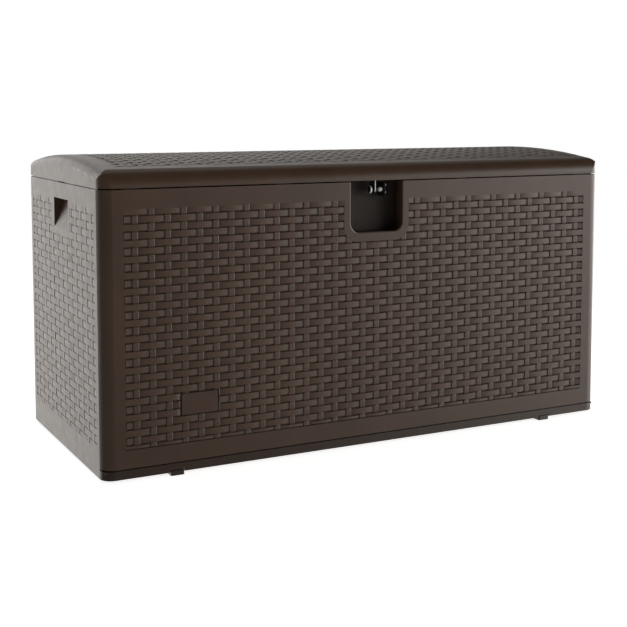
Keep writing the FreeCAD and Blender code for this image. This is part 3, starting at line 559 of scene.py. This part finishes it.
def lid_weave():
    across, along = field_lines(LONG_HALF, WARPS_LONG, LID_FIRST_ROW, -LID_HALF, LID_HALF)
    height, warp = weave_heights(across, along, WARPS_LONG, LID_FIRST_ROW, True, (-LONG_HALF, LONG_HALF))
    skin("lid_weave", "lid", across, along, height, warp, on_lid, cell_keep(across, along))


# ---------------------------------------------------------------- recess trim

FRONT_FACE = -314.0
RECESS_HALF, RECESS_LOW, RECESS_ROUND = 72.0, 528.0, 24.0
TRIM_TOP = 649.6
TRIM_STEPS = 16
TRIM_SHARP = 14
# the bar's section: how far out from the recess's edge, and how deep behind the front face
TRIM_PROFILE = ((3.4, 0.02), (0.0, 1.2), (0.0, 4.0), (3.4, 4.0))


def trim_path():
    """Down the recess's left edge, along its bottom and up its right: each point's X, Z and way out."""
    path = []
    for side in (-1, 1):
        top = [(side * RECESS_HALF, TRIM_TOP, side, 0.0)]
        corner = []
        for step in range(TRIM_STEPS + 1):
            turn = math.pi / 2 * step / TRIM_STEPS
            x = side * (RECESS_HALF - RECESS_ROUND + RECESS_ROUND * math.sin(turn))
            z = RECESS_LOW + RECESS_ROUND - RECESS_ROUND * math.cos(turn)
            corner.append((x, z, side * math.sin(turn), -math.cos(turn)))
        path += top + corner[::-1] if side < 0 else corner + top
    return path


def recess_trim():
    """The facet round the latch recess's mouth: a bar along its left side, bottom and right side."""
    path = trim_path()
    points = [((x + out * away_x) * MM, (FRONT_FACE + deep) * MM, (z + out * away_z) * MM)
              for x, z, away_x, away_z in path for out, deep in TRIM_PROFILE]
    wide = len(TRIM_PROFILE)
    faces = []
    for line in range(len(path) - 1):
        here, there = line * wide, (line + 1) * wide
        for k in range(wide):
            after = (k + 1) % wide
            faces.append([here + k, here + after, there + after, there + k])
    faces += [list(range(wide)), list(range(len(points) - wide, len(points)))[::-1]]
    add_resin_piece("recess_trim", "box", points, faces, PLAIN, TRIM_SHARP)


# ---------------------------------------------------------------- studio

# the floor is pale paper near the box, and fades to plain white light between these distances from the middle
FLOOR_RADIUS = 40.0
FLOOR_SIDES = 96
FLOOR_FADE = (1.2, 3.4)
FLOOR_GREY = (0.8, 0.8, 0.8)
FLOOR_GLOW = (0.86, 1.0)
FLOOR_ROUGH = 0.95
BLACK, WHITE = (0.0, 0.0, 0.0), (1.0, 1.0, 1.0)


def add_floor():
    builder = bmesh.new()
    bmesh.ops.create_circle(builder, cap_ends=True, cap_tris=False, segments=FLOOR_SIDES, radius=FLOOR_RADIUS)
    mesh = bpy.data.meshes.new("floor")
    builder.to_mesh(mesh)
    builder.free()
    floor = bpy.data.objects.new("floor", mesh)
    scene.collection.objects.link(floor)

    made = Nodes("floor_paper")
    away = made.node("ShaderNodeVectorMath", operation="LENGTH")
    made.join(made.coordinates(), away.inputs[0])
    distance = away.outputs["Value"]
    tone = made.ramp(made.remap(distance, 0.0, 1.0, *FLOOR_FADE), ((0.0, FLOOR_GREY), (1.0, BLACK)))
    glow = made.remap(distance, *FLOOR_GLOW, *FLOOR_FADE)
    made.set(Base_Color=tone, Roughness=FLOOR_ROUGH, Emission_Color=WHITE, Emission_Strength=glow,
             Specular_IOR_Level=0.0)
    mesh.materials.append(made.material)
    floor.visible_glossy = False


# direction the light comes from, half-angle where it is full and where it ends, and strength
WORLD_LIGHTS = (
    ((-0.46, 0.88, -0.04), 31, 40, 0.97),
    ((-0.02, 0.99, 0.10), 14, 50, 0.60),
    ((0.0, 0.43, 0.90), 20, 40, 0.8),
    ((0.95, 0.28, 0.03), 10, 24, 3.0),
    ((0.88, -0.47, 0.02), 16, 42, 2.6),
    ((0.83, -0.50, 0.31), 8, 20, 3.2),
)
# light from everywhere: its strength below and above, and the heights of direction between which it changes
WORLD_BASE = 0.16
WORLD_ABOVE = 0.03
WORLD_CHANGE = (0.15, 0.5)
WORLD_TINT = (1, 0.98, 0.945)
# the lights are flattened: narrower in height than in width
FLATTEN = (1, 1, 1.45)


def add_world():
    world = bpy.data.worlds.new("studio")
    world.use_nodes = True
    scene.world = world
    tree = world.node_tree

    def node(kind, **settings):
        made = tree.nodes.new(kind)
        for key, value in settings.items():
            setattr(made, key, value)
        return made

    def faded(source, low, high, low_value, high_value):
        fade = node("ShaderNodeMapRange", interpolation_type="SMOOTHSTEP")
        for name, value in (("From Min", low), ("From Max", high), ("To Min", low_value), ("To Max", high_value)):
            fade.inputs[name].default_value = value
        tree.links.new(source, fade.inputs["Value"])
        return fade.outputs["Result"]

    place = node("ShaderNodeTexCoord").outputs["Generated"]
    parts = node("ShaderNodeSeparateXYZ")
    tree.links.new(place, parts.inputs[0])
    total = faded(parts.outputs["Z"], *WORLD_CHANGE, WORLD_BASE, WORLD_ABOVE)
    flat = node("ShaderNodeVectorMath", operation="MULTIPLY")
    flat.inputs[1].default_value = FLATTEN
    tree.links.new(place, flat.inputs[0])
    unit = node("ShaderNodeVectorMath", operation="NORMALIZE")
    tree.links.new(flat.outputs[0], unit.inputs[0])
    for direction, full, end, strength in WORLD_LIGHTS:
        toward = node("ShaderNodeVectorMath", operation="DOT_PRODUCT")
        toward.inputs[1].default_value = Vector(direction).normalized()
        tree.links.new(unit.outputs[0], toward.inputs[0])
        lobe = faded(toward.outputs["Value"], math.cos(math.radians(end)), math.cos(math.radians(full)), 0, strength)
        sum_up = node("ShaderNodeMath")
        tree.links.new(lobe, sum_up.inputs[0])
        tree.links.new(total, sum_up.inputs[1])
        total = sum_up.outputs["Value"]
    light = tree.nodes["Background"]
    light.inputs["Color"].default_value = (*WORLD_TINT, 1)
    tree.links.new(total, light.inputs["Strength"])
    seen = node("ShaderNodeBackground")
    seen.inputs["Color"].default_value = (*WHITE, 1)
    path = node("ShaderNodeLightPath")
    mix = node("ShaderNodeMixShader")
    tree.links.new(path.outputs["Is Camera Ray"], mix.inputs[0])
    tree.links.new(light.outputs[0], mix.inputs[1])
    tree.links.new(seen.outputs[0], mix.inputs[2])
    tree.links.new(mix.outputs[0], tree.nodes["World Output"].inputs[0])


def add_softbox(name, place, aim, size, power):
    data = bpy.data.lights.new(name, "AREA")
    data.shape = "RECTANGLE"
    data.size, data.size_y = size
    data.energy = power
    light = bpy.data.objects.new(name, data)
    light.location = place
    light.rotation_mode = "QUATERNION"
    light.rotation_quaternion = (Vector(aim) - Vector(place)).to_track_quat("-Z", "Y")
    light.visible_camera = False
    scene.collection.objects.link(light)


# ---------------------------------------------------------------- the scene

add_camera()
add_floor()
add_world()
add_softbox("fill_right", place=(4.4, -2.6, 1.2), aim=(0.2, -0.2, 0.4), size=(2.0, 2.0), power=12)

PLAIN = resin("resin_plain")
WOVEN = resin("resin_woven", woven=True)
RESIN_SHADED_RECESS = resin("resin_recess_painted_shade", with_recess_shade=True)
LOW = resin("resin_low", tone=LOW_TONE)
FINISH = {
    "resin": PLAIN,
    "steel": metal("steel", (0.34, 0.34, 0.33), (0.46, 0.46, 0.45), rough=(0.36, 0.46), stretch=(1, 1, 6)),
    "zinc": metal("zinc", (0.42, 0.43, 0.43), (0.58, 0.59, 0.58), rough=(0.3, 0.45)),
    "black_metal": metal("black_metal", (0.005, 0.005, 0.0055), (0.010, 0.010, 0.0105), rough=(0.6, 0.72),
                         metallic=0.0, ior=1.3),
    "dark_plastic": soft_plastic("dark_plastic", (0.016, 0.013, 0.011), (0.024, 0.020, 0.017),
                                 rough=(0.5, 0.62), grain=900.0),
    "rubber": soft_plastic("rubber", (0.010, 0.010, 0.010), (0.017, 0.017, 0.017),
                           rough=(0.72, 0.85), grain=700.0),
}
OWN_FINISH = {
    "front_panel": RESIN_SHADED_RECESS,
    "base_panel": LOW,
    "front_feet": LOW,
    "rear_feet": LOW,
    "lock_pin": capped_pin(),
}

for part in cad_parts.values():
    for seat in part.material_slots:
        seat.material = FINISH[seat.material.name]
for name, finish in OWN_FINISH.items():
    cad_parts[name].material_slots[0].material = finish

front_weave()
rear_weave()
side_weave("left_weave", -1)
side_weave("right_weave", 1)
lid_weave()
recess_trim()

scene.view_settings.view_transform = "Standard"
